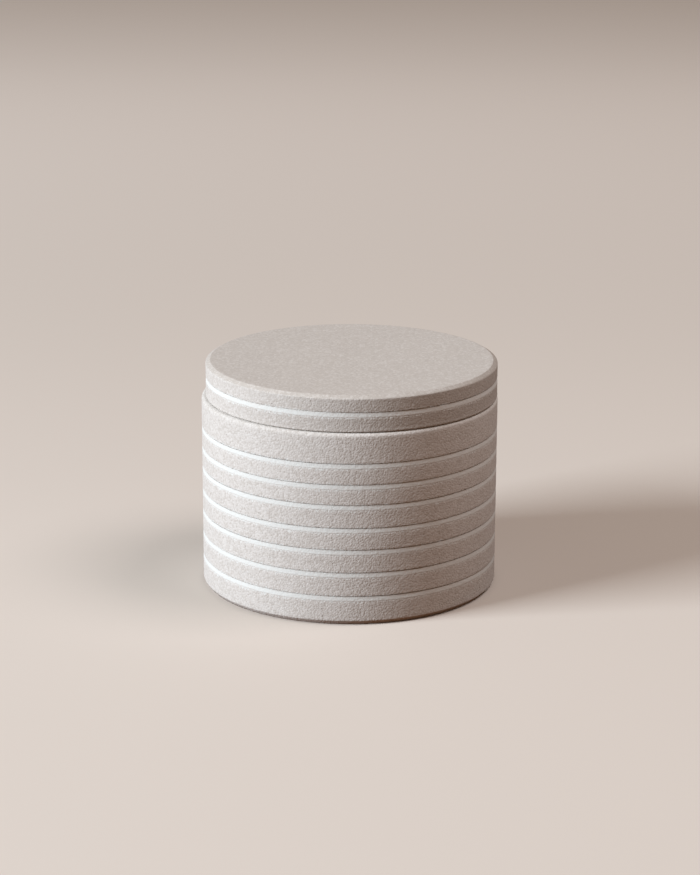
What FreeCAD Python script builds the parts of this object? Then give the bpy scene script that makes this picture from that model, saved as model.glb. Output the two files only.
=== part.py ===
import FreeCAD, Part
import os
from math import cos, tan

# A round stoneware box with a flat lid that lifts off. White slip lies in the grooves turned round both, and the
# inside is glazed. Every piece is a solid of revolution, drawn as half a section and turned about the upright axis.
# Sizes are in millimetres. The origin is the centre of the base, where it stands, +Z is up and the front faces -Y.

# The box
body_diameter = 110.0
body_height = 71.5          # from the table to the flat rim that carries the lid
wall_thickness = 6.0
floor_height = 7.0          # from the table to the floor inside
floor_corner_radius = 7.0   # where the wall inside runs into the floor
rim_outer_rounding = 1.3
rim_inner_rounding = 0.8
foot_bevel_height = 1.6     # the bevel that lifts the wall off the table
foot_bevel_depth = 1.4
foot_bevel_rounding = 0.6   # where the wall runs into the bevel
foot_ring_width = 8.0       # from the wall to the recess
foot_recess_depth = 1.4
foot_recess_rounding = 0.9  # where the ring turns up into the recess

# The lid
lid_diameter = 108.2
lid_edge_height = 13.6      # from the rim of the box to the lid's flat top
lid_top_thickness = 6.0
lid_bevel_width = 1.7       # the bevel scraped on the lid's upper edge, measured along the top
lid_bevel_height = 1.0
lid_bevel_rounding = 0.6    # where the bevel runs into the top and into the side
lid_bottom_rounding = 0.4
lid_hollow_radius = 4.5     # where the hollow under the lid runs into its flange

# The flange under the lid, which keeps the lid on the box
flange_play = 1.1           # between the flange and the wall all round, with the lid in the middle
lid_offset_share = 0.63     # of that play, by which the lid lies to the right of the box's axis
flange_thickness = 4.0
flange_depth = 7.0
flange_tip_rounding = 1.2

# The grooves, and the slip that lines them
groove_height = 2.0
groove_depth = 0.4          # from the wall to the surface of the slip
groove_drop_share = 0.08    # of groove_height, from the upper lip down to the deepest point
groove_rounding = 0.15
slip_thickness = 0.3        # at the deepest point
body_groove_shares = (0.831, 0.723, 0.617, 0.497, 0.383, 0.263, 0.139)   # of body_height, from the top down
lid_groove_share = 0.482    # of lid_edge_height

# The glaze inside, which stops short of the rim and of the flange's tip so that the two don't fuse in the kiln
glaze_thickness = 0.4
glaze_bead_rounding = 0.25
glaze_stop_below_rim = 9.5
lid_glaze_stop_above_tip = 2.5

# Worked out from the sizes above
body_radius = body_diameter / 2
lid_offset = lid_offset_share * flange_play
cavity_radius = body_radius - wall_thickness
lid_radius = lid_diameter / 2
lid_top = body_height + lid_edge_height
lid_ceiling = lid_top - lid_top_thickness
flange_radius = cavity_radius - flange_play
flange_bore = flange_radius - flange_thickness
flange_tip = body_height - flange_depth
body_groove_heights = [share * body_height for share in body_groove_shares]
lid_groove_height = body_height + lid_groove_share * lid_edge_height


def corner(radius, height, rounding=0):
    """One corner of a section: its distance from the axis, its height, and how much it is rounded."""
    return FreeCAD.Vector(radius, 0, height), rounding


def arc_at(before, here, after, rounding):
    """The arc that rounds a corner, tangent to both of its sides."""
    to_before = (before - here).normalize()
    to_after = (after - here).normalize()
    half_angle = to_before.getAngle(to_after) / 2
    reach = rounding / tan(half_angle)
    inward = (to_before + to_after).normalize()
    centre = here + inward * (reach / cos(half_angle))
    return Part.Arc(here + to_before * reach, centre - inward * rounding, here + to_after * reach)


def turned(corners):
    """Turns a closed section, given corner by corner, about the upright axis into a solid."""
    bends = []
    for index, (here, rounding) in enumerate(corners):
        if rounding:
            before = corners[index - 1][0]
            after = corners[(index + 1) % len(corners)][0]
            arc = arc_at(before, here, after, rounding)
            bends.append((arc.StartPoint, [arc.toShape()], arc.EndPoint))
        else:
            bends.append((here, [], here))
    edges = []
    for (_, arc_edges, end), (next_start, _, _) in zip(bends, bends[1:] + bends[:1]):
        edges += arc_edges + [Part.makeLine(end, next_start)]
    section = Part.Face(Part.Wire(edges))
    solid = section.revolve(FreeCAD.Vector(0, 0, 0), FreeCAD.Vector(0, 0, 1), 360)
    return solid if solid.Volume > 0 else solid.reversed()


def groove_corners(wall_radius, height, depth):
    """A groove from its upper lip down to its lower one. A shallower one has the same slopes and the same middle."""
    full_depth = groove_depth + slip_thickness
    deepest_height = height + (1 / 2 - groove_drop_share) * groove_height
    rise = groove_drop_share * groove_height * depth / full_depth
    fall = (1 - groove_drop_share) * groove_height * depth / full_depth
    return [
        corner(wall_radius, deepest_height + rise),
        corner(wall_radius - depth, deepest_height, groove_rounding),
        corner(wall_radius, deepest_height - fall),
    ]


def make_body():
    """The box: foot ring, grooved wall, flat rim, and the hollow inside."""
    foot_bore = body_radius - foot_ring_width
    outside = [corner(body_radius, body_height, rim_outer_rounding)]
    for height in body_groove_heights:
        outside += groove_corners(body_radius, height, groove_depth + slip_thickness)
    underside = [
        corner(body_radius, foot_bevel_height, foot_bevel_rounding),
        corner(body_radius - foot_bevel_depth, 0),
        corner(foot_bore, 0, foot_recess_rounding),
        corner(foot_bore, foot_recess_depth),
        corner(0, foot_recess_depth),
    ]
    inside = [
        corner(0, floor_height),
        corner(cavity_radius, floor_height, floor_corner_radius),
        corner(cavity_radius, body_height, rim_inner_rounding),
    ]
    return turned(outside + underside + inside)


def make_lid():
    """The lid: flat top, bevelled and grooved edge, and the flange that reaches down inside the rim."""
    edge = [
        corner(0, lid_top),
        corner(lid_radius - lid_bevel_width, lid_top, lid_bevel_rounding),
        corner(lid_radius, lid_top - lid_bevel_height, lid_bevel_rounding),
    ]
    edge += groove_corners(lid_radius, lid_groove_height, groove_depth + slip_thickness)
    edge.append(corner(lid_radius, body_height, lid_bottom_rounding))
    flange = [
        corner(flange_radius, body_height),
        corner(flange_radius, flange_tip, flange_tip_rounding),
        corner(flange_bore, flange_tip, flange_tip_rounding),
    ]
    hollow = [corner(flange_bore, lid_ceiling, lid_hollow_radius), corner(0, lid_ceiling)]
    return turned(edge + flange + hollow)


def make_slip_line(wall_radius, height):
    """A band of slip on both faces of one groove, level with the wall at the groove's lips."""
    clay_side = groove_corners(wall_radius, height, groove_depth + slip_thickness)
    open_side = groove_corners(wall_radius, height, groove_depth)
    return turned(clay_side + open_side[::-1])


def make_inside_glaze():
    """The glaze that lines the box, from the middle of the floor to a line below the rim."""
    surface_radius = cavity_radius - glaze_thickness
    surface_floor = floor_height + glaze_thickness
    stop = body_height - glaze_stop_below_rim
    return turned([
        corner(0, floor_height),
        corner(cavity_radius, floor_height, floor_corner_radius),
        corner(cavity_radius, stop),
        corner(surface_radius, stop, glaze_bead_rounding),
        corner(surface_radius, surface_floor, floor_corner_radius - glaze_thickness),
        corner(0, surface_floor),
    ])


def make_lid_inside_glaze():
    """The glaze that lines the hollow under the lid, down to a line above the flange's tip."""
    surface_radius = flange_bore - glaze_thickness
    surface_ceiling = lid_ceiling - glaze_thickness
    stop = flange_tip + lid_glaze_stop_above_tip
    return turned([
        corner(0, lid_ceiling),
        corner(flange_bore, lid_ceiling, lid_hollow_radius),
        corner(flange_bore, stop),
        corner(surface_radius, stop, glaze_bead_rounding),
        corner(surface_radius, surface_ceiling, lid_hollow_radius - glaze_thickness),
        corner(0, surface_ceiling),
    ])


def make_parts():
    """Every piece by name, where it lies with the lid on. What belongs to the lid shares the lid's offset."""
    parts = {"box_body": make_body(), "inside_glaze": make_inside_glaze()}
    for number, height in enumerate(body_groove_heights, start=1):
        parts[f"body_slip_line_{number}"] = make_slip_line(body_radius, height)
    lid_parts = {
        "lid": make_lid(),
        "lid_slip_line": make_slip_line(lid_radius, lid_groove_height),
        "lid_inside_glaze": make_lid_inside_glaze(),
    }
    for name, shape in lid_parts.items():
        shape.translate(FreeCAD.Vector(lid_offset, 0, 0))
        parts[name] = shape
    return parts


os.makedirs("parts", exist_ok=True)
for name, shape in make_parts().items():
    shape.exportStep(f"parts/{name}.step")
    box = shape.optimalBoundingBox(True, False)
    print(f"{name}: {shape.Volume:.0f} mm3, {box.XLength:.2f} x {box.YLength:.2f} x {box.ZLength:.2f} mm")
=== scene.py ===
# %% [markdown]
# This lesson dresses a small stoneware box. A potter threw it, turned grooves round it, brushed white slip
# into them and scraped the wall clean, so that the slip stays in the grooves as fine lines. A flat lid lifts
# off. The construction comes ready made as a frame: every node has its real size and place, and nothing here
# moves it. Its sizes could be typed in again, but then the two would drift apart, so all that the frame can
# give is read from it. The other sizes are named where they are first needed.

# %% Load the frame
import math

import bmesh
import bpy
from mathutils import Matrix, Vector, noise


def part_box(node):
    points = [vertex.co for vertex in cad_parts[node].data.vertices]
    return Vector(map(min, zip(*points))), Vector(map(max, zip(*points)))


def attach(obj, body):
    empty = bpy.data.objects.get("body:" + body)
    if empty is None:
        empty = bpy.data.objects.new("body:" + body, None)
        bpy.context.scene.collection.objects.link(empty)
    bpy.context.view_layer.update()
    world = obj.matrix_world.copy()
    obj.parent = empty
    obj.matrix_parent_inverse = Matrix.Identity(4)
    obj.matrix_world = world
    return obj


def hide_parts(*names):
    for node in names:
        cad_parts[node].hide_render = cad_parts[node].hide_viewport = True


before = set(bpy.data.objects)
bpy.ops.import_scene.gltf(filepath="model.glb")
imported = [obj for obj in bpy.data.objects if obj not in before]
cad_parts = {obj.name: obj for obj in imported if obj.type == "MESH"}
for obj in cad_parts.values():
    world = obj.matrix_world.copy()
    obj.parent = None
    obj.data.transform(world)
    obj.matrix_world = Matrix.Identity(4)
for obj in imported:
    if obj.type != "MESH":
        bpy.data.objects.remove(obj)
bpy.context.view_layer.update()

mm = 0.001
print(len(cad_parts), "nodes in the frame")

# %% [markdown]
# Four nodes give the main sizes: the box, the lid, and the glaze inside each of them, which is as wide as the
# hollow that it lines. A ruler on the picture would give them too, but less well. The lid lies a little
# beside the box's axis, so its centre is read as well.

# %% Read the main sizes
body_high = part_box("box_body")[1]
lid_low, lid_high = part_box("lid")
glaze_low, glaze_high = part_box("inside_glaze")
lid_glaze_low, lid_glaze_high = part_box("lid_inside_glaze")

wall_radius = body_high.x
rim_height = body_high.z
cavity_radius = glaze_high.x
floor_height = glaze_low.z
glaze_stop = glaze_high.z
print(f"box {wall_radius / mm:.1f} mm in radius and {rim_height / mm:.1f} mm high")

lid_centre = (lid_low.x + lid_high.x) / 2
lid_radius = (lid_high.x - lid_low.x) / 2
lid_top = lid_high.z
lid_ceiling = lid_glaze_high.z
lid_glaze_stop = lid_glaze_low.z
flange_tip = lid_low.z
flange_bore = (lid_glaze_high.x - lid_glaze_low.x) / 2
print(f"lid {lid_radius / mm:.1f} mm in radius, {(lid_top - rim_height) / mm:.1f} mm high above the rim")

# %% [markdown]
# Each white line is a node of its own, and the groove that holds it is just as high. So the grooves need no
# table of heights: they are found by asking the frame for the box of each line.

# %% Find the grooves
def height_span(node):
    """The lowest and the highest point of a node."""
    low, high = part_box(node)
    return low.z, high.z


body_lines = [name for name in sorted(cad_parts) if name.startswith("body_slip_line")]
body_grooves = [height_span(name) for name in body_lines]
lid_grooves = [height_span("lid_slip_line")]
print("groove heights (mm):", [round((high - low) / mm, 2) for low, high in body_grooves + lid_grooves])

# %% [markdown]
# The viewpoint comes first, because everything is judged through it. The box was seen from just under a metre
# away through a long lens, tilted down by about sixteen degrees. Such a view could be set by eye, but an edge
# of the lid that is half a degree too open already looks wrong, so the camera was fitted to the edges and
# lines of the box.

# %% Set the camera
camera_side = -1.95 * mm
camera_distance = 945.7 * mm
camera_height = 330.1 * mm
camera_tilt_down = math.radians(16.26)
camera_yaw = math.radians(-0.13)
camera_roll = math.radians(0.188)
camera_lens = 108.58
sensor_width = 36.0

camera_data = bpy.data.cameras.new("camera")
camera_data.sensor_width = sensor_width
camera_data.lens = camera_lens
camera = bpy.data.objects.new("camera", camera_data)
bpy.context.scene.collection.objects.link(camera)
camera.matrix_world = (
    Matrix.Translation((camera_side, -camera_distance, camera_height))
    @ Matrix.Rotation(camera_yaw, 4, "Z")
    @ Matrix.Rotation(math.pi / 2 - camera_tilt_down, 4, "X")
    @ Matrix.Rotation(camera_roll, 4, "Z")
)
bpy.context.scene.camera = camera
bpy.context.scene.view_settings.view_transform = "Standard"
print(f"camera {camera_distance / mm:.0f} mm in front and {camera_height / mm:.0f} mm up")

# %% [markdown]
# Every piece of this box was made on a wheel, so every piece is a section turned about an axis. The outline
# of the section could be a drawn curve, but corners with a rounding each are what a potter's ribs and tools
# leave, and their sizes can be read and changed. A vertex bevel rounds a corner: how far it reaches along
# both edges follows from the radius of the arc and from the angle between them.

# %% Corners of a section
tight_arc = 2
small_arc = 3
rim_arc = 4
wide_arc = 5
lining_arc = 6
bowl_arc = 8


def corner(radius, height, rounding=0.0, segments=0):
    """One corner of a section: its place, and the radius and segments of the arc that rounds it, if any."""
    return radius, height, rounding, segments


def round_corner(bm, vert, rounding, segments):
    """Rounds one corner of a section into an arc of that radius."""
    before, after = [(edge.other_vert(vert).co - vert.co).normalized() for edge in vert.link_edges]
    reach = rounding / math.tan(before.angle(after) / 2)
    bmesh.ops.bevel(bm, geom=[vert], affect="VERTICES", offset=reach, offset_type="OFFSET",
                    segments=segments, profile=0.5, material=-1)


print(f"arcs have {tight_arc} to {bowl_arc} segments")

# %% [markdown]
# The corners of half a section are laid down as vertices in order, joined, and rounded. The edges between
# them are then divided. One spacing for all would do, but the unevenness of the clay needs vertices only
# where it shows, so each piece says how short its edges have to be at a place.

# %% Lay down half a section
def divide_edges(bm, spacing_at):
    """Cuts each edge into parts that are no longer than the spacing at its middle."""
    for edge in list(bm.edges):
        middle = (edge.verts[0].co + edge.verts[1].co) / 2
        cuts = math.ceil(edge.calc_length() / spacing_at(middle)) - 1
        if cuts > 0:
            bmesh.ops.subdivide_edges(bm, edges=[edge], cuts=cuts)


def lay_section(corners, spacing_at, closed):
    """Half a section in the XZ plane, as an open or a closed row of short edges."""
    bm = bmesh.new()
    verts = [bm.verts.new((radius, 0, height)) for radius, height, _, _ in corners]
    following = verts[1:] + verts[:1] if closed else verts[1:]
    for here, there in zip(verts, following):
        bm.edges.new((here, there))
    for vert, (_, _, rounding, segments) in zip(verts, corners):
        if rounding:
            round_corner(bm, vert, rounding, segments)
    divide_edges(bm, spacing_at)
    return bm


sample = lay_section([corner(0, 0), corner(0, mm)], lambda middle: mm / 2, closed=False)
print("a 1 mm edge with a spacing of half of that has", len(sample.edges), "parts")
sample.free()

# %% [markdown]
# The wheel turns the section about the upright axis. One full spin could do that, but in hundreds of small
# steps it is slow, because each step goes through the whole mesh. So only a narrow wedge is spun, and then
# copied and turned on by its own angle, which doubles it each time until it closes. The copies meet vertex on
# vertex: merging them closes the seams and the poles, and after that the normals are made to point outwards.

# %% Turn the section
doublings = 5
wedges = 2 ** doublings
merge_distance = 0.0005 * mm


def double(bm, angle):
    """Copies everything and turns the copy on by that angle."""
    copied = bmesh.ops.duplicate(bm, geom=bm.verts[:] + bm.edges[:] + bm.faces[:])["geom"]
    copied_verts = [part for part in copied if isinstance(part, bmesh.types.BMVert)]
    bmesh.ops.rotate(bm, verts=copied_verts, cent=(0, 0, 0), matrix=Matrix.Rotation(angle, 3, "Z"))


def turn(bm, steps, centre_x=0.0):
    """Turns a section all the way round in that many steps, and moves it to its own axis."""
    angle = 2 * math.pi / wedges
    bmesh.ops.spin(bm, geom=bm.verts[:] + bm.edges[:], cent=(0, 0, 0), axis=(0, 0, 1),
                   angle=angle, steps=steps // wedges, use_merge=False)
    for _ in range(doublings):
        double(bm, angle)
        angle *= 2
    bmesh.ops.remove_doubles(bm, verts=bm.verts, dist=merge_distance)
    bmesh.ops.recalc_face_normals(bm, faces=bm.faces)
    bmesh.ops.translate(bm, verts=bm.verts, vec=(centre_x, 0, 0))
    return bm


print(f"a wedge is 1/{wedges} of a turn and is doubled {doublings} times")

# %% [markdown]
# No potter's wall is a true cylinder. The turning tool wanders a little, coarse sand drags small pits, and
# the whole skin is slightly uneven. A bump texture could fake all of it, but bumps don't change an outline,
# or the line where two surfaces meet. So the larger unevenness is real: each vertex is pushed along its
# normal. The push always goes inwards, so that the piece keeps its size.

# %% Push a surface inwards
wander_depth = 0.12 * mm
wander_heights_share = 0.11
wander_size = 1.0
wander_seed = 3.0


def unevenness(place, size, seed):
    """A smooth random value from about 0 to 1, whose hills are about that size across."""
    return 0.5 + 0.5 * noise.noise(place / size + Vector((seed, -seed, seed / 2)))


def wander(place):
    """How far the tool wandered inwards here: slowly round the wall, and differently in each band."""
    around = Vector((place.x, place.y, 0)).normalized()
    up = place.z / (wander_heights_share * rim_height)
    return wander_depth * unevenness(around + Vector((0, 0, up)), wander_size, wander_seed)


def push_in(bm, depth_at):
    """Moves every vertex inwards along its normal by what depth_at gives for its place."""
    bm.normal_update()
    depths = [depth_at(vert.co) for vert in bm.verts]
    for vert, depth in zip(bm.verts, depths):
        vert.co -= vert.normal * depth


print(f"the tool wanders by up to {wander_depth / mm:.2f} mm")

# %% [markdown]
# Some marks on the clay follow its shape, such as slip left beside a groove. A texture can't know where that
# is, so the mark's strength is stored on the vertices as an attribute, which a material can read. The same
# cell finishes a piece: it hangs it on the part that carries it, and hides the part of the frame it stands
# for.

# %% Paint a mark and finish a piece
def fade(distance, reach):
    """1 at no distance, falling to 0 at the reach and staying there. Below zero it is 0 too."""
    return max(0.0, 1 - distance / reach) if distance >= 0 else 0.0


def paint(bm, name, amount_at):
    """Stores a number on every vertex, which a material reads as an attribute."""
    layer = bm.verts.layers.float.new(name)
    for vert in bm.verts:
        vert[layer] = amount_at(vert.co)


def finish_piece(bm, name, material, body, node):
    """Makes an object of a bmesh, hangs it on the body that carries it, and hides the node that it stands
    for.
    """
    mesh = bpy.data.meshes.new(name)
    bm.to_mesh(mesh)
    bm.free()
    mesh.shade_smooth()
    piece = bpy.data.objects.new(name, mesh)
    bpy.context.scene.collection.objects.link(piece)
    piece.data.materials.append(material)
    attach(piece, body)
    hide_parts(node)
    triangles = sum(len(face.vertices) - 2 for face in mesh.polygons)
    print(f"{name}: {triangles} triangles, rides on {body}")


print("fade at a quarter, half and all of its reach:", fade(0.25, 1), fade(0.5, 1), fade(1, 1))

# %% [markdown]
# Materials are built from nodes. A node could be placed and wired by hand in three lines, but a material has
# dozens, so one helper adds a node and gives each input either a value or the socket that feeds it. The small
# ones after it do the sums that come back everywhere.

# %% Helpers for nodes and sums
def add(tree, kind, inputs=None, **settings):
    """Adds a node, sets its settings, and gives each input a value or the socket that feeds it."""
    made = tree.nodes.new(kind)
    for name, value in settings.items():
        setattr(made, name, value)
    for name, value in (inputs or {}).items():
        if isinstance(value, bpy.types.NodeSocket):
            tree.links.new(value, made.inputs[name])
        else:
            made.inputs[name].default_value = value
    return made


def calculate(tree, operation, first, second):
    """A Math node's result."""
    return add(tree, "ShaderNodeMath", {0: first, 1: second}, operation=operation).outputs[0]


def scale(tree, value, factor):
    """A value times a factor."""
    return calculate(tree, "MULTIPLY", value, factor)


def share_out(tree, share, first, second):
    """That share of the first value, and the rest of the second."""
    return calculate(tree, "ADD", scale(tree, first, share), scale(tree, second, 1 - share))


print("helpers for nodes and sums are ready")

# %% [markdown]
# Four more helpers give the ramps, blends and textures. A ramp is a smooth step, because a straight one
# leaves a visible kink where it ends. The two textures are soft noise and cells: noise for what changes
# slowly, and cells for what has grains, because each cell also has random numbers of its own.

# %% Helpers for ramps, blends and textures
def ramp(tree, value, low, high):
    """0 up to the low value, 1 from the high one on, and a smooth step between them."""
    inputs = {"Value": value, "From Min": low, "From Max": high}
    return add(tree, "ShaderNodeMapRange", inputs, interpolation_type="SMOOTHSTEP").outputs["Result"]


def blend(tree, amount, low_colour, high_colour):
    """A mix of two colours."""
    inputs = {"Factor": amount, 6: low_colour, 7: high_colour}
    return add(tree, "ShaderNodeMix", inputs, data_type="RGBA").outputs[2]


def hills(tree, place, per_metre, detail):
    """Soft noise with so many hills to the metre."""
    inputs = {"Vector": place, "Scale": per_metre, "Detail": detail}
    return add(tree, "ShaderNodeTexNoise", inputs).outputs["Fac"]


def cells(tree, place, per_metre, channel):
    """Cells like grains: the distance from each one's middle, and a random number that it has for itself."""
    cell = add(tree, "ShaderNodeTexVoronoi", {"Vector": place, "Scale": per_metre}).outputs
    luck = add(tree, "ShaderNodeSeparateColor", {"Color": cell["Color"]}).outputs[channel]
    return cell["Distance"], luck


print("helpers for ramps, blends and textures are ready")

# %% [markdown]
# An effect that several materials share is a node group, made once, with named inputs and outputs. The nodes
# could be copied into each material, but then a change would have to be made in each. A group gives only
# values and masks here, and the shader itself stays in the material.

# %% Helpers for node groups
def start_group(name, inputs, outputs):
    """An empty shader node group with named number or vector inputs and number outputs."""
    group = bpy.data.node_groups.new(name, "ShaderNodeTree")
    for socket_name, kind in inputs.items():
        group.interface.new_socket(socket_name, in_out="INPUT", socket_type=kind)
    for socket_name in outputs:
        group.interface.new_socket(socket_name, in_out="OUTPUT", socket_type="NodeSocketFloat")
    return group, group.nodes.new("NodeGroupInput").outputs, group.nodes.new("NodeGroupOutput").inputs


def use_group(tree, group, inputs):
    """Places a node group in a material and returns its outputs."""
    return add(tree, "ShaderNodeGroup", inputs, node_tree=group).outputs


print("helpers for node groups are ready")

# %% [markdown]
# Every material starts and ends alike. It takes the object's own coordinates, so that its pattern moves with
# the piece when the lid is lifted. It ends with a colour and a bump that the shader gets, and whatever is the
# same all over is set on the shader's own sockets.

# %% Helpers for materials
def start_material(name):
    """A material with its shader node, and the object's own coordinates."""
    material = bpy.data.materials.new(name)
    material.use_nodes = True
    tree = material.node_tree
    coordinates = add(tree, "ShaderNodeTexCoord").outputs["Object"]
    return material, tree, tree.nodes["Principled BSDF"], coordinates


def read_attribute(tree, name):
    """A number painted on the vertices."""
    return add(tree, "ShaderNodeAttribute", attribute_name=name).outputs["Fac"]


def join_shader(tree, shader, colour, height, relief):
    """Joins a colour and a height to the shader. The relief is how deep a height of 1 is."""
    tree.links.new(colour, shader.inputs["Base Color"])
    bump = add(tree, "ShaderNodeBump", {"Height": height, "Distance": relief, "Strength": 1.0})
    tree.links.new(bump.outputs["Normal"], shader.inputs["Normal"])


print("helpers for materials are ready")

# %% [markdown]
# The clay is full of fine sand. Under raking light every grain shows a bright and a dark side, and in flat
# light the surface looks almost plain. A colour pattern alone would look the same in both, so the grain has
# to be relief: soft noise for the packed clay, rounded cells for the grains, and a few deep pits where a
# grain was torn out. Torn grains are rarer, so their cells are larger.

# %% Sand, as a node group
grains_per_size = 0.85
torn_grains_per_size = 0.3
torn_luck = (0.7, 0.8)
pit_edge = (0.2, 0.08)
packed_height_share = 0.5
rounded_height_share = 0.55
pit_height_share = 0.4
packed_tone_share = 0.4


def make_sand_group():
    """Fine sand: a height for the bump, a tone for the colour, and pits."""
    group, given, result = start_group(
        "sand", {"Vector": "NodeSocketVector", "Grain Size": "NodeSocketFloat"}, ["Height", "Tone", "Pits"])
    place = given["Vector"]
    per_grain = calculate(group, "DIVIDE", 1.0, given["Grain Size"])
    packed = hills(group, place, per_grain, detail=1.0)
    from_middle, cell_tone = cells(group, place, scale(group, per_grain, grains_per_size), "Red")
    rounded = calculate(group, "SUBTRACT", 1.0, from_middle)
    from_pit, pit_luck = cells(group, place, scale(group, per_grain, torn_grains_per_size), "Green")
    pits = scale(group, ramp(group, pit_luck, *torn_luck), ramp(group, from_pit, *pit_edge))
    grainy = calculate(
        group, "ADD", scale(group, packed, packed_height_share), scale(group, rounded, rounded_height_share))
    height = calculate(group, "SUBTRACT", grainy, scale(group, pits, pit_height_share))
    group.links.new(height, result["Height"])
    group.links.new(share_out(group, packed_tone_share, packed, cell_tone), result["Tone"])
    group.links.new(pits, result["Pits"])
    return group


sand_group = make_sand_group()
print("node group:", sand_group.name)

# %% [markdown]
# Where slip thins out, it doesn't fade like paint. It stays on some grains and is gone from others. A noise
# texture could break up the edge, but noise keeps close to its middle value and leaves the edge soft. So each
# grain gets a random number of its own, and it is covered where the cover is greater than that number.

# %% Ragged cover, as a node group
fleck_softness = 0.15


def make_ragged_group():
    """Turns an even cover, 0 to 1, into flecks: about that share of the grains is covered."""
    group, given, result = start_group(
        "ragged", {"Vector": "NodeSocketVector", "Cover": "NodeSocketFloat", "Fleck Size": "NodeSocketFloat"},
        ["Cover"])
    per_fleck = calculate(group, "DIVIDE", 1.0, given["Fleck Size"])
    _, luck = cells(group, given["Vector"], per_fleck, "Blue")
    above = calculate(group, "SUBTRACT", given["Cover"], luck)
    group.links.new(ramp(group, above, 0.0, fleck_softness), result["Cover"])
    return group


ragged_group = make_ragged_group()
print("node group:", ragged_group.name)

# %% [markdown]
# A kiln doesn't heat evenly, so the tone of the clay changes slowly over centimetres, and a little more
# quickly over millimetres. One noise with many octaves would give both, but not with the strength of each set
# by itself, so two are added.

# %% Kiln tone, as a node group
slow_tone_per_metre = 45.0
quick_tone_per_metre = 260.0
slow_tone_share = 0.55


def make_kiln_group():
    """Slow changes of tone over centimetres, and softer ones over millimetres."""
    group, given, result = start_group("kiln_tone", {"Vector": "NodeSocketVector"}, ["Tone"])
    slow = hills(group, given["Vector"], slow_tone_per_metre, detail=2.0)
    quick = hills(group, given["Vector"], quick_tone_per_metre, detail=3.0)
    group.links.new(share_out(group, slow_tone_share, slow, quick), result["Tone"])
    return group


kiln_group = make_kiln_group()
print("node group:", kiln_group.name)

# %% [markdown]
# The clay fired to a pale warm grey. Its colour is built up in the order in which it came about: the tone
# from the kiln, pale and dark grains, painted shade in the pits, the wash of slip in the pores, and painted
# shade where grains were dragged out at the lips of the grooves. Each is a blend over the one before. They
# could be one long colour ramp, but then none of them could be weaker or stronger than the rest. So each one
# has the share that it takes of the colour.

# %% Colours of the clay
clay_colour = (0.705, 0.675, 0.645, 1)
clay_dark = (0.58, 0.54, 0.50, 1)
clay_light = (0.80, 0.775, 0.75, 1)
bare_clay_colour = (0.52, 0.484, 0.448, 1)
bare_clay_light = (0.70, 0.67, 0.64, 1)
# Painted shade: the colour that darkens the pits and the crumbled lips, standing for the shade inside them.
pit_shade_colour = (0.30, 0.255, 0.215, 1)
slip_colour = (0.80, 0.82, 0.805, 1)
kiln_dark_tones = (0.6, 0.4)
kiln_dark_share = 0.15
pale_grain_tones = (0.54, 0.74)
pale_grain_share = 0.5
dark_grain_tones = (0.46, 0.26)
dark_grain_share = 0.6
# How strongly the pits are darkened with painted shade.
pit_shade_share = 0.35
wash_colour_share = 0.8
# How strongly the crumbled lips are darkened with painted shade.
crumb_shade_share = 0.7
print("the pale clay reflects", clay_colour[0], "of the red light, the bare clay", bare_clay_colour[0])

# %% [markdown]
# Where the clay was wiped bare of slip it is darker, so every blend starts from one of two clays. On the
# lid's side that darkness is also painted shade, stronger towards the right. The wash and the bareness are
# painted on the vertices, and the wash is broken up into flecks as large as the grains.

# %% Colour the clay
grain_size = 0.6 * mm


def ragged_cover(tree, coordinates, cover, fleck_size):
    """A painted cover, broken up into flecks."""
    inputs = {"Vector": coordinates, "Cover": cover, "Fleck Size": fleck_size}
    return use_group(tree, ragged_group, inputs)["Cover"]


def faint_ramp(tree, value, tones, share):
    """A ramp between two tones that goes up to that share only."""
    return scale(tree, ramp(tree, value, *tones), share)


def colour_clay(tree, coordinates, sand, crumbled):
    """The colour of the clay, each effect blended over the one before."""
    kiln = use_group(tree, kiln_group, {"Vector": coordinates})["Tone"]
    wash = ragged_cover(tree, coordinates, read_attribute(tree, "near_slip"), grain_size)
    # The bare attribute also holds painted shade: darker towards the right of the lid's side.
    bareness_and_shade = read_attribute(tree, "bare")
    tone = blend(tree, bareness_and_shade, clay_colour, bare_clay_colour)
    grain_tone = blend(tree, bareness_and_shade, clay_light, bare_clay_light)
    fired = blend(tree, faint_ramp(tree, kiln, kiln_dark_tones, kiln_dark_share), tone, clay_dark)
    pale_grains = faint_ramp(tree, sand["Tone"], pale_grain_tones, pale_grain_share)
    dark_grains = faint_ramp(tree, sand["Tone"], dark_grain_tones, dark_grain_share)
    speckled = blend(tree, dark_grains, blend(tree, pale_grains, fired, grain_tone), clay_dark)
    # Painted shade in the pits.
    pit_shaded = blend(tree, scale(tree, sand["Pits"], pit_shade_share), speckled, pit_shade_colour)
    washed = blend(tree, scale(tree, wash, wash_colour_share), pit_shaded, slip_colour)
    # Painted shade where grains were dragged out at the lips.
    return blend(tree, scale(tree, crumbled, crumb_shade_share), washed, pit_shade_colour)


print(f"grains are {grain_size / mm:.1f} mm across")

# %% [markdown]
# The clay is matt, and its relief is what makes it look like sand. Where it was rubbed smooth it loses that
# relief, and where grains were dragged out it is a little deeper. A displaced mesh could carry the sand too,
# but at half a millimetre a grain it would need millions of faces, and a bump looks the same from here.

# %% Raw clay
crumb_speck_size = 0.5 * mm
crumb_height_share = 0.3
clay_relief = 0.175 * mm
clay_roughness = 0.9
matt_specular = 0.25


def make_matt(shader):
    """Gives a shader the dull surface of unglazed clay."""
    shader.inputs["Roughness"].default_value = clay_roughness
    shader.inputs["Specular IOR Level"].default_value = matt_specular


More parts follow.
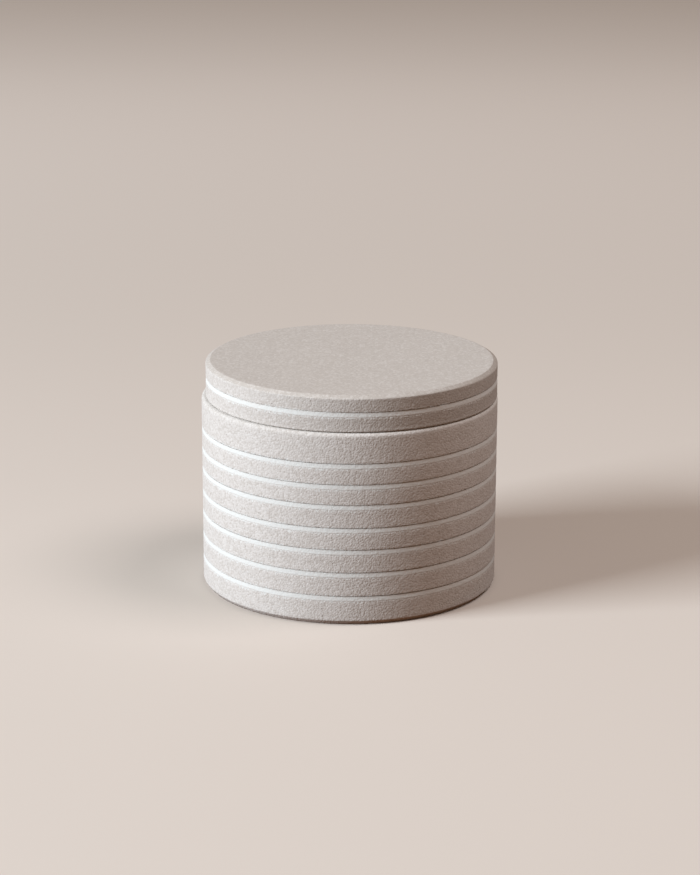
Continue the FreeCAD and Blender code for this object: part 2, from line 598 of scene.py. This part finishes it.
def make_clay():
    """Sandy unglazed stoneware."""
    material, tree, shader, coordinates = start_material("raw_clay")
    sand = use_group(tree, sand_group, {"Vector": coordinates, "Grain Size": grain_size})
    crumbled = ragged_cover(tree, coordinates, read_attribute(tree, "crumbled"), crumb_speck_size)
    unrubbed = calculate(tree, "SUBTRACT", 1.0, read_attribute(tree, "rubbed"))
    dragged = calculate(tree, "SUBTRACT", sand["Height"], scale(tree, crumbled, crumb_height_share))
    height = scale(tree, dragged, unrubbed)
    join_shader(tree, shader, colour_clay(tree, coordinates, sand, crumbled), height, clay_relief)
    make_matt(shader)
    return material


raw_clay = make_clay()
print("material:", raw_clay.name)

# %% [markdown]
# The white slip is a thin coat of fine clay. It is smoother than the body, and at both lips of a groove it is
# thin enough for the sand below to show through. A plain gradient would look sprayed on. The same ragged
# cover is used instead, the other way round: here the attribute says how thin the slip is.

# %% White slip
slip_relief = 0.06 * mm
fleck_share = 0.6
sand_through_tones = (0.45, 0.3)
sand_through_share = 0.35


def make_slip():
    """White slip with sand just under its skin."""
    material, tree, shader, coordinates = start_material("white_slip")
    sand = use_group(tree, sand_group, {"Vector": coordinates, "Grain Size": grain_size})
    thin = read_attribute(tree, "thin")
    bare = share_out(tree, fleck_share, ragged_cover(tree, coordinates, thin, grain_size), thin)
    sand_through = faint_ramp(tree, sand["Tone"], sand_through_tones, sand_through_share)
    sanded = blend(tree, sand_through, slip_colour, clay_light)
    join_shader(tree, shader, blend(tree, bare, sanded, clay_colour), sand["Height"], slip_relief)
    make_matt(shader)
    return material


white_slip = make_slip()
print("material:", white_slip.name)

# %% [markdown]
# Each groove was cut with the corner of a tool held from above, so its upper face is short and nearly level,
# and its lower face is long and runs out into the band below. The upper lip is a small roll, and the lower
# one is hardly there. A groove could be cut out of a finished wall, but as three corners of the section it
# gets its roundings with all the others.

# %% The section of a groove
groove_depth = 0.7 * mm
groove_drop_share = 0.08
groove_bottom_rounding = 0.15 * mm
upper_lip_rounding = 0.2 * mm
lower_lip_rounding = 2.0 * mm


def groove_corners(radius, low, high):
    """The upper lip, the deepest point and the lower lip of a groove, from the top down."""
    deepest = high - groove_drop_share * (high - low)
    return [
        corner(radius, high, upper_lip_rounding, small_arc),
        corner(radius - groove_depth, deepest, groove_bottom_rounding, tight_arc),
        corner(radius, low, lower_lip_rounding, small_arc),
    ]


def in_groove(height, grooves):
    """Whether a height lies in a groove, or so close below one that the lower lip's arc reaches it."""
    return any(low - groove_depth < height < high for low, high in grooves)


print(f"grooves are {groove_depth / mm:.1f} mm deep")

# %% [markdown]
# A mesh can't be equally fine everywhere. In the grooves fine detail shows, so its edges are short there. On
# the wall they are medium, and long where hardly anything shows, under the foot and deep inside. All that
# lies within the skin, twice a groove's depth, counts as outside.

# %% Spacing of the box's mesh
skin_thickness = 2 * groove_depth
groove_spacing = 0.42 * mm
wall_spacing = 0.8 * mm
rim_spacing = 2 * wall_spacing
hidden_spacing = 5.0 * mm


def box_spacing(middle):
    """Short edges in the grooves, medium ones on the wall, long ones where hardly anything shows."""
    if middle.x < wall_radius - skin_thickness:
        return hidden_spacing if middle.z < glaze_stop else rim_spacing
    return groove_spacing if in_groove(middle.z, body_grooves) else wall_spacing


print(f"edges up to {groove_spacing / mm:.2f} mm in the grooves and {hidden_spacing / mm:.0f} mm inside")

# %% [markdown]
# The whole box is one section: rim, grooved wall, foot, floor and hollow. It could be a solid with its hollow
# cut out, but one section keeps the wall's thickness plain to see. It stands on a ring, with a shallow recess
# inside it, and the ring's outer edge is bevelled, so that the foot doesn't chip.

# %% Turn the box
rim_outer_rounding = 1.3 * mm
rim_inner_rounding = 0.8 * mm
floor_corner_radius = 7.0 * mm
foot_bevel_height = 1.6 * mm
foot_bevel_depth = 1.4 * mm
foot_bevel_rounding = 0.6 * mm
foot_ring_width = 8.0 * mm
foot_recess_depth = 1.4 * mm
foot_recess_rounding = 0.9 * mm
wall_steps = 448

foot_bore = wall_radius - foot_ring_width
box_corners = [corner(wall_radius, rim_height, rim_outer_rounding, rim_arc)]
for low, high in body_grooves:
    box_corners += groove_corners(wall_radius, low, high)
box_corners += [
    corner(wall_radius, foot_bevel_height, foot_bevel_rounding, small_arc),
    corner(wall_radius - foot_bevel_depth, 0),
    corner(foot_bore, 0, foot_recess_rounding, small_arc),
    corner(foot_bore, foot_recess_depth),
    corner(0, foot_recess_depth),
    corner(0, floor_height),
    corner(cavity_radius, floor_height, floor_corner_radius, wide_arc),
    corner(cavity_radius, rim_height, rim_inner_rounding, small_arc),
]
box_bm = turn(lay_section(box_corners, box_spacing, closed=True), wall_steps)
print(f"box turned: {len(box_bm.verts)} vertices")

# %% [markdown]
# Brushing the slip in and scraping it off leaves marks beside each groove. A wash of slip stays in the pores,
# strongest inside the groove, and fades out just below its lower lip. A thinner smear lies on the upper lip,
# where the scraper also dragged out a few grains. All of it follows the grooves, so it is worked out from
# the distance to them. A texture with stripes would have to be lined up with them by hand.

# %% The marks beside the grooves
outer_skin_reach = 1.5 * groove_depth
wash_start_share = 0.35
wash_reach = 1.35 * mm
wash_strength = 1.15
smear_reach = 0.6 * mm
smear_strength = 0.7
crumb_height = 0.2 * mm
crumb_reach = 0.5 * mm
crumb_share = 0.12


def on_upper_lip(place, grooves):
    """1 on the upper lip of a groove, fading to 0 beside it."""
    return max(fade(abs(place.z - high - crumb_height), crumb_reach) for _, high in grooves)


def near_slip_at(place, radius, centre_x, grooves):
    """How strong the slip is here: the wash down from inside a groove, and the smear on its upper lip."""
    if math.hypot(place.x - centre_x, place.y) < radius - outer_skin_reach:
        return 0.0
    starts = [low + wash_start_share * (high - low) for low, high in grooves]
    below = wash_strength * max(fade(start - place.z, wash_reach) for start in starts)
    above = smear_strength * max(fade(abs(place.z - high), smear_reach) for _, high in grooves)
    return max(below, above)


# This mask deepens the lips, and in the clay's colour it also darkens them with painted shade.
def crumbled_at(place, radius, centre_x, grooves):
    """How many of the grains were dragged out here."""
    if math.hypot(place.x - centre_x, place.y) < radius - groove_depth:
        return 0.0
    return crumb_share * on_upper_lip(place, grooves)


print(f"the wash reaches {wash_reach / mm:.2f} mm down from its start")

# %% [markdown]
# Box and lid get the same two marks, so one function paints both. It has to come before the vertices move,
# because the marks are worked out from the true shape.

# %% Paint the marks on the box
def paint_groove_marks(bm, radius, centre_x, grooves):
    """Paints the slip beside the grooves, and the grains that were dragged out."""
    paint(bm, "near_slip", lambda place: near_slip_at(place, radius, centre_x, grooves))
    paint(bm, "crumbled", lambda place: crumbled_at(place, radius, centre_x, grooves))


paint_groove_marks(box_bm, wall_radius, 0.0, body_grooves)
print("marks painted on the box:", box_bm.verts.layers.float.keys())

# %% [markdown]
# Now the surface gets its shape. Three things take clay away from the true form: the wandering tool, the
# uneven skin, and crumbs lost at the upper lips. They could each be a displace modifier, but here they are
# one sum, so a vertex moves once. The foot stays flat, because the box has to stand on it, and the hollow is
# left alone, because the glaze covers it.

# %% Make the box uneven
skin_depth = 0.05 * mm
skin_size = 1.5 * mm
skin_seed = 0.0
crumb_depth = 0.2 * mm
crumb_size = 1.3 * mm
crumb_threshold = 0.62
crumb_seed = 11.0


def crumbs(place, grooves):
    """How deep the upper lips have crumbled here."""
    near = on_upper_lip(place, grooves)
    if near == 0:
        return 0.0
    loose = unevenness(place, crumb_size, crumb_seed)
    return crumb_depth * near * fade(1 - loose, 1 - crumb_threshold)


def clay_depth(place, grooves):
    """Everything that takes the clay inwards at a place on the outside."""
    return wander(place) + skin_depth * unevenness(place, skin_size, skin_seed) + crumbs(place, grooves)


def box_depth(place):
    """The same for the box, with its foot and its hollow left true."""
    outside = math.hypot(place.x, place.y) > wall_radius - outer_skin_reach
    return clay_depth(place, body_grooves) if outside and place.z > 0 else 0.0


push_in(box_bm, box_depth)
finish_piece(box_bm, "stoneware_box", raw_clay, "box", "box_body")

# %% [markdown]
# The slip lines are rings that lie in the grooves. Each starts tucked under the upper lip, a little inside
# the wall, and slopes outwards until it runs out as a feather edge at the lower lip. Its bend lies low, where
# the scraper flattened it. A line could be only a colour on the wall, but slip has a thickness that catches
# the light. The clay and the slip are both uneven, but not in the same way, so the line where they meet comes
# out ragged by itself, as it does on the scraped pot.

# %% The section of a slip line
slip_depth = 0.18 * mm
slip_tuck = 0.02 * mm
slip_bend_drop = 1.65 * mm
slip_bend_rounding = 1.0 * mm
slip_edge_depth = 0.02 * mm
slip_back = 0.3 * mm
slip_thin_reach = 0.6 * mm
slip_top_thin_reach = 0.6 * mm
slip_top_thin_share = 0.65


def slip_corners(radius, low, high):
    """The section of one slip line: its open side from the top down, then its back, inside the clay."""
    start_radius = radius - slip_depth
    start_height = high - slip_tuck
    edge_radius = radius - slip_edge_depth
    return [
        corner(start_radius, start_height),
        corner(radius, high - slip_bend_drop, slip_bend_rounding, small_arc),
        corner(edge_radius, low),
        corner(edge_radius - slip_back, low),
        corner(start_radius - slip_back, start_height),
    ]


def slip_thinness(place, low, high):
    """How thin the slip is: 0 in the groove, more at the upper lip, and 1 at the lower one."""
    below = fade(max(0.0, place.z - low), slip_thin_reach)
    above = slip_top_thin_share * fade(max(0.0, high - place.z), slip_top_thin_reach)
    return max(below, above)


print(f"slip starts {slip_depth / mm:.2f} mm inside the wall")

# %% [markdown]
# All the rings are made by one function. Each has its own seed for the ripples that the brush left, because
# eight equal lines would look printed. They are divided more finely than the clay, since their edge is what
# the eye follows round the box.

# %% Lay the slip in the grooves
slip_ripple_depth = 0.1 * mm
slip_ripple_size = 0.8 * mm
slip_first_seed = 20.0
slip_spacing = 0.2 * mm
slip_steps = 1152


def slip_depth_at(place, seed):
    """How far the slip lies inwards here: with the wandering wall, and by its own ripples."""
    return wander(place) + slip_ripple_depth * unevenness(place, slip_ripple_size, seed)


def lay_slip(number, node, radius, centre_x, low, high, body):
    """One ring of slip."""
    section = lay_section(slip_corners(radius, low, high), lambda middle: slip_spacing, closed=True)
    bm = turn(section, slip_steps, centre_x)
    paint(bm, "thin", lambda place: slip_thinness(place, low, high))
    push_in(bm, lambda place: slip_depth_at(place, slip_first_seed + number))
    finish_piece(bm, node.replace("slip_line", "slip_ring"), white_slip, body, node)


for number, (node, (low, high)) in enumerate(zip(body_lines, body_grooves)):
    lay_slip(number, node, wall_radius, 0.0, low, high, "box")
lay_slip(len(body_lines), "lid_slip_line", lid_radius, lid_centre, *lid_grooves[0], "lid")

# %% [markdown]
# The lid has a scraped bevel round its top. It could be left to a modifier, but it is a cut with its own
# width and height, so it is in the section. So is the outer underside, which is cut back a little: the lid
# rests further in, and the seam between lid and box shows as a dark line. Below it a flange with some play
# keeps the lid in place.

# %% Sizes of the lid
lid_bevel_width = 1.7 * mm
lid_bevel_height = 1.0 * mm
lid_bevel_rounding = 0.6 * mm
lid_bottom_rounding = 0.4 * mm
lid_hollow_rounding = 4.5 * mm
seam_relief = 0.3 * mm
seam_width = 2.5 * mm
flange_play = 1.1 * mm
flange_tip_rounding = 1.2 * mm

lid_bevel_foot = lid_top - lid_bevel_height
lid_underside = rim_height + seam_relief
flange_radius = cavity_radius - flange_play
print(f"flange {flange_radius / mm:.1f} mm in radius, in a hollow of {cavity_radius / mm:.1f} mm")

# %% [markdown]
# The lid is turned from one lump, flat top, edge and flange together, and it could be turned about the box's
# axis. But a loose lid never lands in the middle, and its axis lies a little to the side. Its section starts
# and ends on that axis, so it is left open, and the turn closes it.

# %% Turn the lid
lid_top_spacing = 1.1 * mm
lid_edge_spacing = 0.55 * mm
flange_spacing = hidden_spacing / 2


def lid_spacing(middle):
    """Medium edges on the lid's top, short ones on its edge, long ones below."""
    if middle.z > lid_top - merge_distance:
        return lid_top_spacing
    if middle.z > lid_bevel_foot:
        return lid_edge_spacing
    if middle.x < lid_radius - skin_thickness:
        return flange_spacing
    return groove_spacing if in_groove(middle.z, lid_grooves) else lid_edge_spacing


lid_corners = [
    corner(0, lid_top),
    corner(lid_radius - lid_bevel_width, lid_top, lid_bevel_rounding, small_arc),
    corner(lid_radius, lid_bevel_foot, lid_bevel_rounding, small_arc),
    *groove_corners(lid_radius, *lid_grooves[0]),
    corner(lid_radius, lid_underside, lid_bottom_rounding, small_arc),
    corner(lid_radius - seam_width, lid_underside),
    corner(lid_radius - seam_width - seam_relief, rim_height),
    corner(flange_radius, rim_height),
    corner(flange_radius, flange_tip, flange_tip_rounding, rim_arc),
    corner(flange_bore, flange_tip, flange_tip_rounding, rim_arc),
    corner(flange_bore, lid_ceiling, lid_hollow_rounding, wide_arc),
    corner(0, lid_ceiling),
]
lid_bm = turn(lay_section(lid_corners, lid_spacing, closed=False), wall_steps, lid_centre)
print(f"lid turned: {len(lid_bm.verts)} vertices, its axis {lid_centre / mm:.1f} mm to the right")

# %% [markdown]
# The lid gets the same marks and unevenness as the box, and two more. Its top was rubbed smooth, so its sand
# hardly stands out, and it was wiped bare of slip, as was its side. The side is painted darker towards the
# right and lighter towards the left: painted shade, for the side away from the window.
# The face that rests on the rim stays true, with all that lies below it, so that the lid sits flat.

# %% Finish the lid
lid_top_rubbed_share = 0.85
lid_side_bare_share = 0.66
# Painted shade: how much darker the lid's side gets towards its shaded right.
lid_side_shade_swing = 0.55


def lid_depth(place):
    """The lid's unevenness, with its resting face and all below it left true."""
    return clay_depth(place, lid_grooves) if place.z > lid_underside + lid_bottom_rounding else 0.0


def lid_rubbing(place):
    """How smooth the lid was rubbed: its top and its bevel only."""
    return lid_top_rubbed_share if place.z > lid_bevel_foot else 0.0


def lid_bareness_and_shade(place):
    """How bare of slip the lid's clay is, with painted shade: wholly on top and bevel; on its side darker to
    the right.
    """
    if place.z > lid_bevel_foot:
        return 1.0
    return min(1.0, lid_side_bare_share + lid_side_shade_swing * place.x / lid_radius)


paint_groove_marks(lid_bm, lid_radius, lid_centre, lid_grooves)
paint(lid_bm, "rubbed", lid_rubbing)
paint(lid_bm, "bare", lid_bareness_and_shade)
push_in(lid_bm, lid_depth)
finish_piece(lid_bm, "stoneware_lid", raw_clay, "lid", "lid")

# %% [markdown]
# Inside, the box holds food or jewellery, so it is glazed. A satin glaze is clay-coloured glass: it breaks
# thin and darker at its edge, and its skin is faintly uneven where it flowed. A glossy clear coat over the
# clay could stand for it, but this glaze hides the clay, so it has a colour of its own.

# %% Satin glaze
glaze_colour = (0.74, 0.70, 0.62, 1)
glaze_thin_colour = (0.52, 0.43, 0.34, 1)
glaze_roughness = 0.28
glaze_relief = 0.02 * mm
glaze_ripples_per_metre = 320.0
glaze_flow_share = 0.15
glaze_pool_tones = (0.35, 0.65)


def make_glaze():
    """Satin cream glaze."""
    material, tree, shader, coordinates = start_material("satin_glaze")
    kiln = use_group(tree, kiln_group, {"Vector": coordinates})["Tone"]
    flowed_thin = blend(tree, glaze_flow_share, glaze_colour, glaze_thin_colour)
    pooled = blend(tree, ramp(tree, kiln, *glaze_pool_tones), flowed_thin, glaze_colour)
    broken = blend(tree, read_attribute(tree, "thin"), pooled, glaze_thin_colour)
    ripples = hills(tree, coordinates, glaze_ripples_per_metre, detail=2.0)
    join_shader(tree, shader, broken, ripples, glaze_relief)
    shader.inputs["Roughness"].default_value = glaze_roughness
    return material


satin_glaze = make_glaze()
print("material:", satin_glaze.name)

# %% [markdown]
# The glaze is a shell inside the hollow. The inner wall could simply be given the material, but the glaze's
# edge stands up as a soft bead where the potter wiped the rim clean. The lining of the lid is the same thing
# the other way up, so one function gives both sections, and is told which way the glaze faces.

# %% The section of a lining
facing_up = 1
facing_down = -1
glaze_thickness = 0.4 * mm
glaze_bead_rounding = 0.18 * mm


def lining_corners(radius, back, stop, rounding, surface_arc, facing):
    """The section of a lining, from its back, which lies on the clay, to its open surface."""
    surface_radius = radius - glaze_thickness
    surface = back + facing * glaze_thickness
    return [
        corner(0, back),
        corner(radius, back, rounding, lining_arc),
        corner(radius, stop),
        corner(surface_radius, stop, glaze_bead_rounding, small_arc),
        corner(surface_radius, surface, rounding - glaze_thickness, surface_arc),
        corner(0, surface),
    ]


box_lining = lining_corners(
    cavity_radius, floor_height, glaze_stop, floor_corner_radius, bowl_arc, facing_up)
lid_lining = lining_corners(
    flange_bore, lid_ceiling, lid_glaze_stop, lid_hollow_rounding, lining_arc, facing_down)
print(f"the linings are {glaze_thickness / mm:.1f} mm thick")

# %% [markdown]
# Where a glaze stops, it has run a little further in one place than in another. So its edge wanders up and
# down, and what lies near the edge goes along with it, which a clean cut wouldn't show. The edge is also
# thin, so the glaze turns darker there.

# %% Line the box and the lid with glaze
glaze_spacing = 2.0 * mm
glaze_steps = 288
edge_wave_depth = 0.5 * mm
edge_wave_size = 9.0 * mm
edge_wave_reach = 6.0 * mm
edge_wave_seed = 5.0
thin_edge_reach = 1.2 * mm


def wave_edge(bm, stop, facing):
    """Lets the glaze's edge wander away from where it stops, and what is near the edge a little less."""
    for vert in bm.verts:
        near = fade(abs(vert.co.z - stop), edge_wave_reach)
        wave = unevenness(Vector((vert.co.x, vert.co.y, 0)), edge_wave_size, edge_wave_seed)
        vert.co.z -= facing * near * edge_wave_depth * wave


def line_with_glaze(corners, stop, facing, centre_x, name, body, node):
    """Turns a lining, thins and waves its edge, and finishes it."""
    section = lay_section(corners, lambda middle: glaze_spacing, closed=True)
    bm = turn(section, glaze_steps, centre_x)
    paint(bm, "thin", lambda place: fade(facing * (stop - place.z), thin_edge_reach))
    wave_edge(bm, stop, facing)
    finish_piece(bm, name, satin_glaze, body, node)


line_with_glaze(box_lining, glaze_stop, facing_up, 0.0, "glaze_in_box", "box", "inside_glaze")
line_with_glaze(
    lid_lining, lid_glaze_stop, facing_down, lid_centre, "glaze_in_lid", "lid", "lid_inside_glaze")

# %% [markdown]
# The box stands on a sheet of plain pale paper that curves up behind it, so that no horizon shows. The sheet
# could be a curve with a thickness, but a flat grid with one edge raised and the fold bevelled wide is the
# same thing in three steps.

# %% Lay the paper
paper_half_size = 4.0
paper_height = 2.0
paper_curve = 0.6
paper_curve_segments = 24

paper_bm = bmesh.new()
bmesh.ops.create_grid(paper_bm, x_segments=1, y_segments=1, size=paper_half_size)
back_edge = [edge for edge in paper_bm.edges if all(vert.co.y > 0 for vert in edge.verts)]
raised = bmesh.ops.extrude_edge_only(paper_bm, edges=back_edge)["geom"]
raised_verts = [part for part in raised if isinstance(part, bmesh.types.BMVert)]
bmesh.ops.translate(paper_bm, verts=raised_verts, vec=(0, 0, paper_height))
fold = [edge for edge in paper_bm.edges if len(edge.link_faces) == 2]
bmesh.ops.bevel(paper_bm, geom=fold, affect="EDGES", offset=paper_curve, offset_type="OFFSET",
                segments=paper_curve_segments, profile=0.5, material=-1)
paper_mesh = bpy.data.meshes.new("paper")
paper_bm.to_mesh(paper_mesh)
paper_bm.free()
paper_mesh.shade_smooth()
paper = bpy.data.objects.new("paper", paper_mesh)
bpy.context.scene.collection.objects.link(paper)
print(f"paper laid, {2 * paper_half_size:.0f} m wide")

# %% [markdown]
# Paper that is this pale throws light back up under the grooves and would wash out their dark upper lips. A
# darker paper would look wrong behind the box, so it is pale to the camera and darker to light that bounces.
# A Light Path node tells the two apart. The sheet is a graduated one, paler further back, so that the lid
# stands out against it.

# %% Finish the paper
paper_near = (0.70, 0.64, 0.585, 1)
paper_far = (1.0, 0.93, 0.87, 1)
paper_bounce = (0.14, 0.06, 0.03, 1)
paper_fade_start = 0.3
paper_fade_end = 1.3

paper_material, paper_tree, paper_shader, paper_place = start_material("pale_paper")
distance_back = add(paper_tree, "ShaderNodeSeparateXYZ", {"Vector": paper_place}).outputs["Y"]
how_far = ramp(paper_tree, distance_back, paper_fade_start, paper_fade_end)
paper_seen = blend(paper_tree, how_far, paper_near, paper_far)
light_path = add(paper_tree, "ShaderNodeLightPath").outputs
seen = calculate(paper_tree, "MAXIMUM", light_path["Is Camera Ray"], light_path["Is Glossy Ray"])
paper_tree.links.new(blend(paper_tree, seen, paper_bounce, paper_seen), paper_shader.inputs["Base Color"])
paper_shader.inputs["Roughness"].default_value = 1.0
paper_shader.inputs["Specular IOR Level"].default_value = 0.0
paper_mesh.materials.append(paper_material)
print("material:", paper_material.name)

# %% [markdown]
# One large soft light stands at the left, low like a window, and rakes over the wall: that is what brings out
# the sand. A weaker one hangs high at the right, so that the sand and the grooves show on the shaded side
# too. The lights could stand nearer and be weaker, but then the paper in view would be lit unevenly.

# %% Place the lights
window_colour = (0.98, 1.06, 1.13)
fill_colour = (1.0, 0.95, 0.96)


def soft_light(name, azimuth, elevation, distance, size, power, colour):
    """A square soft light that looks at the box. Azimuth 0 is at the camera's side, 90 to the right."""
    data = bpy.data.lights.new(name, "AREA")
    data.shape = "SQUARE"
    data.size = size
    data.energy = power
    data.color = colour
    light = bpy.data.objects.new(name, data)
    bpy.context.scene.collection.objects.link(light)
    around, up = math.radians(azimuth), math.radians(elevation)
    towards = Vector((math.sin(around) * math.cos(up), -math.cos(around) * math.cos(up), math.sin(up)))
    light.location = Vector((0, 0, rim_height / 2)) + towards * distance
    light.rotation_euler = towards.to_track_quat("Z", "Y").to_euler()
    print(f"{name}: {power} W at {distance} m")


soft_light("window", azimuth=-67, elevation=25, distance=2.6, size=1.1, power=80.0, colour=window_colour)
soft_light("fill", azimuth=78, elevation=60, distance=1.6, size=0.8, power=11.0, colour=fill_colour)

# %% [markdown]
# A room is never quite dark, so the world adds a little warm light from everywhere. A third lamp could do
# that as well, but it would throw a shadow of its own.

# %% Light the room
world_colour = (1.0, 0.68, 0.43, 1)
world_strength = 0.16

world = bpy.data.worlds.new("studio")
world.use_nodes = True
background = world.node_tree.nodes["Background"].inputs
background["Color"].default_value = world_colour
background["Strength"].default_value = world_strength
bpy.context.scene.world = world
print(f"world light: {world_strength}")
